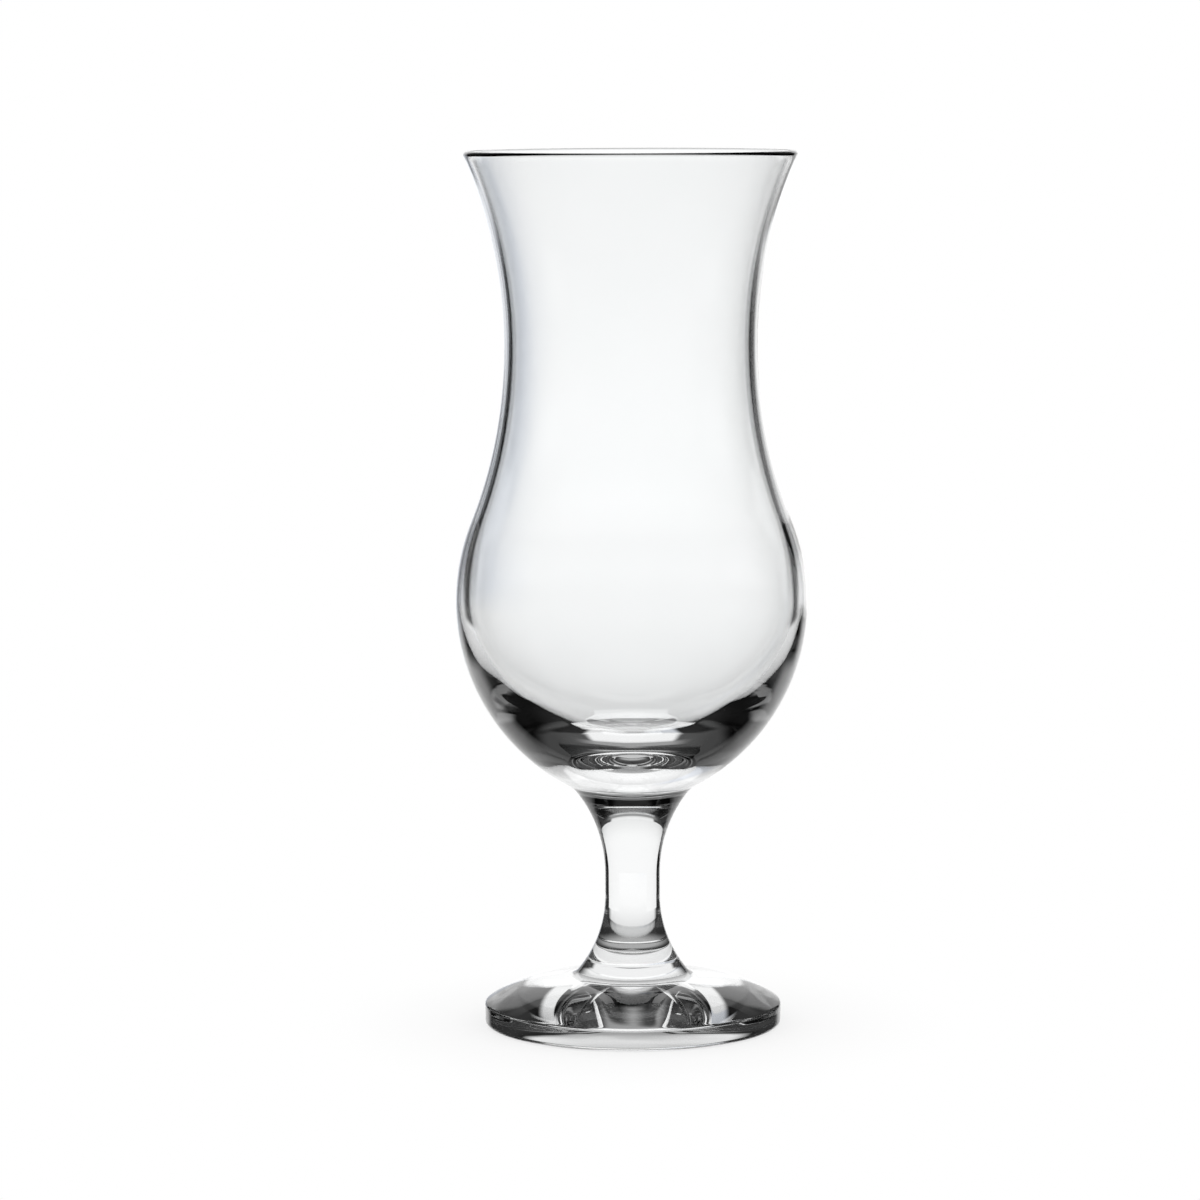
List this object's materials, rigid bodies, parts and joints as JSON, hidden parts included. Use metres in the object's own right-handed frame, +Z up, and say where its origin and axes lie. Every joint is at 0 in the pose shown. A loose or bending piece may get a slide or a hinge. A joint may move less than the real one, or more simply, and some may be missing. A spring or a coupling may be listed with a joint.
{
  "type": "hurricane glass",
  "caption": "Stemmed hurricane cocktail glass with a flared mouth, narrow waist, round belly, solid waisted stem and domed foot, for long mixed drinks over ice.",
  "frame": {"origin": "centre of the foot's resting face, on the table", "axes": "+Z up the axis of the glass, from the foot to the mouth; X and Y are level, and the glass is round about Z"},
  "size_m": [0.0822, 0.0822, 0.205],
  "materials": {
    "clear_glass": "clear, fire-polished, gloss"
  },
  "bodies": {
    "root": {"bowl": "clear_glass", "stem": "clear_glass", "foot": "clear_glass"}
  },
  "joints": []
}
